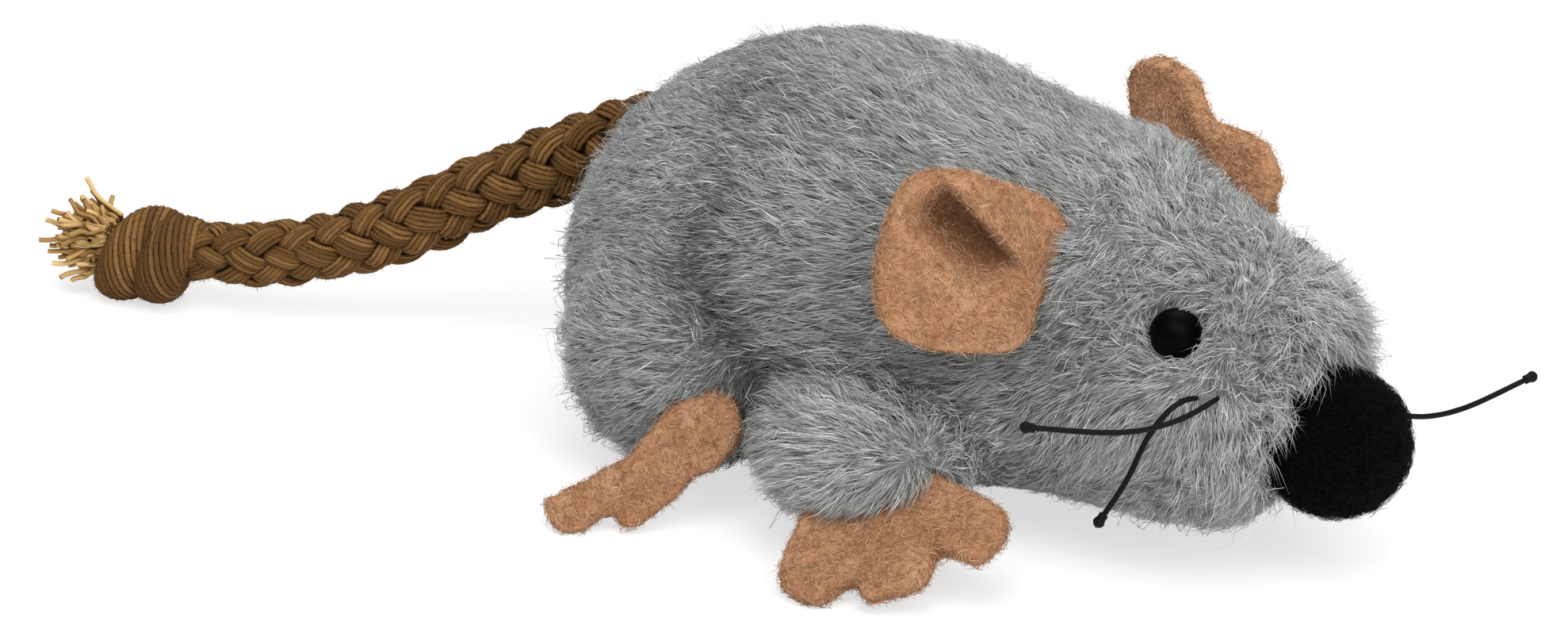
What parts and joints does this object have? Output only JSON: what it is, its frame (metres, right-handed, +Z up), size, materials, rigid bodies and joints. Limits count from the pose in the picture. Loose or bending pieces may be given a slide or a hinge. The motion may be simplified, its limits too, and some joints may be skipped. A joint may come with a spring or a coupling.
{
  "type": "catnip mouse toy",
  "caption": "Stuffed grey faux-fur toy mouse for cats, lying on its belly, with felt ears and feet, ball nose, thread whiskers and a knotted braided-cord tail that bends.",
  "frame": {"origin": "on the floor under the mouse, half way between its rump and the front of its nose", "axes": "+X towards the nose, +Y the mouse's left, +Z up"},
  "size_m": [0.1455, 0.0686, 0.04],
  "materials": {
    "fur": "grey acrylic pile with lighter tips",
    "tan_felt": "fibrous pressed felt",
    "black_felt": "fuzzy black felt ball",
    "eye_bead": "shiny black bead",
    "waxed_thread": "waxed black thread",
    "tail_cord": "brown braided yarn",
    "frayed_yarn": "frayed straw-coloured yarn",
    "filling": "white stuffing",
    "sachet_cloth": "thin woven cloth"
  },
  "bodies": {
    "mouse": {"body_skin_left": "fur", "body_skin_right": "fur", "belly_panel": "fur", "body_filling": "filling", "catnip_sachet": "sachet_cloth", "head_skin_left": "fur", "head_skin_right": "fur", "head_filling": "filling", "nose_ball": "black_felt", "eye_left": "eye_bead", "eye_right": "eye_bead", "thigh_left": "fur", "thigh_right": "fur", "arm_left": "fur", "arm_right": "fur", "tail_root": "tail_cord"},
    "tail_base": {"tail_base": "tail_cord"},
    "tail_end": {"tail_cord": "tail_cord", "tail_knot": "tail_cord", "tail_tuft": "frayed_yarn"},
    "ear_left": {"ear_left": "tan_felt"},
    "ear_right": {"ear_right": "tan_felt"},
    "rear_foot_left": {"rear_foot_left": "tan_felt"},
    "rear_foot_right": {"rear_foot_right": "tan_felt"},
    "front_paw_left": {"front_paw_left": "tan_felt"},
    "front_paw_right": {"front_paw_right": "tan_felt"},
    "whiskers_left": {"whisker_left_front": "waxed_thread", "whisker_left_rear": "waxed_thread"},
    "whiskers_right": {"whisker_right_front": "waxed_thread", "whisker_right_rear": "waxed_thread"}
  },
  "joints": [
    {"name": "tail_lift", "type": "hinge", "parent": "mouse", "child": "tail_base", "pos_m": [-0.04046, 0.00027, 0.02413], "axis": [0, 1, 0], "range_deg": [0, 45]},
    {"name": "tail_swing", "type": "hinge", "parent": "tail_base", "child": "tail_end", "pos_m": [-0.05595, -0.00269, 0.01563], "axis": [0, 0, 1], "range_deg": [-35, 35]},
    {"name": "ear_left_flap", "type": "hinge", "parent": "mouse", "child": "ear_left", "pos_m": [0.0205, 0.01304, 0.02715], "axis": [0, 0, 1], "range_deg": [-18, 5], "stiffness_Nm_per_rad": 0.002},
    {"name": "ear_right_flap", "type": "hinge", "parent": "mouse", "child": "ear_right", "pos_m": [0.0149, -0.01314, 0.02944], "axis": [0, 0, -1], "range_deg": [-5, 18], "stiffness_Nm_per_rad": 0.002},
    {"name": "rear_foot_left_flex", "type": "hinge", "parent": "mouse", "child": "rear_foot_left", "pos_m": [-0.016, 0.02327, 0.0107], "axis": [0.8829, -0.4695, 0], "range_deg": [0, 20], "stiffness_Nm_per_rad": 0.003},
    {"name": "rear_foot_right_flex", "type": "hinge", "parent": "mouse", "child": "rear_foot_right", "pos_m": [-0.016, -0.02327, 0.0107], "axis": [-0.8829, -0.4695, 0], "range_deg": [0, 20], "stiffness_Nm_per_rad": 0.003},
    {"name": "front_paw_left_flex", "type": "hinge", "parent": "mouse", "child": "front_paw_left", "pos_m": [0.0055, 0.02333, 0.00866], "axis": [1, 0, 0], "range_deg": [0, 20], "stiffness_Nm_per_rad": 0.003},
    {"name": "front_paw_right_flex", "type": "hinge", "parent": "mouse", "child": "front_paw_right", "pos_m": [0.0055, -0.02333, 0.00866], "axis": [-1, 0, 0], "range_deg": [0, 20], "stiffness_Nm_per_rad": 0.003},
    {"name": "whiskers_left_flex", "type": "hinge", "parent": "mouse", "child": "whiskers_left", "pos_m": [0.0315, 0.01313, 0.01127], "axis": [0, 0, -1], "range_deg": [0, 25], "stiffness_Nm_per_rad": 0.0002},
    {"name": "whiskers_right_flex", "type": "hinge", "parent": "mouse", "child": "whiskers_right", "pos_m": [0.0325, -0.01229, 0.02124], "axis": [0, 0, 1], "range_deg": [0, 25], "stiffness_Nm_per_rad": 0.0002}
  ]
}
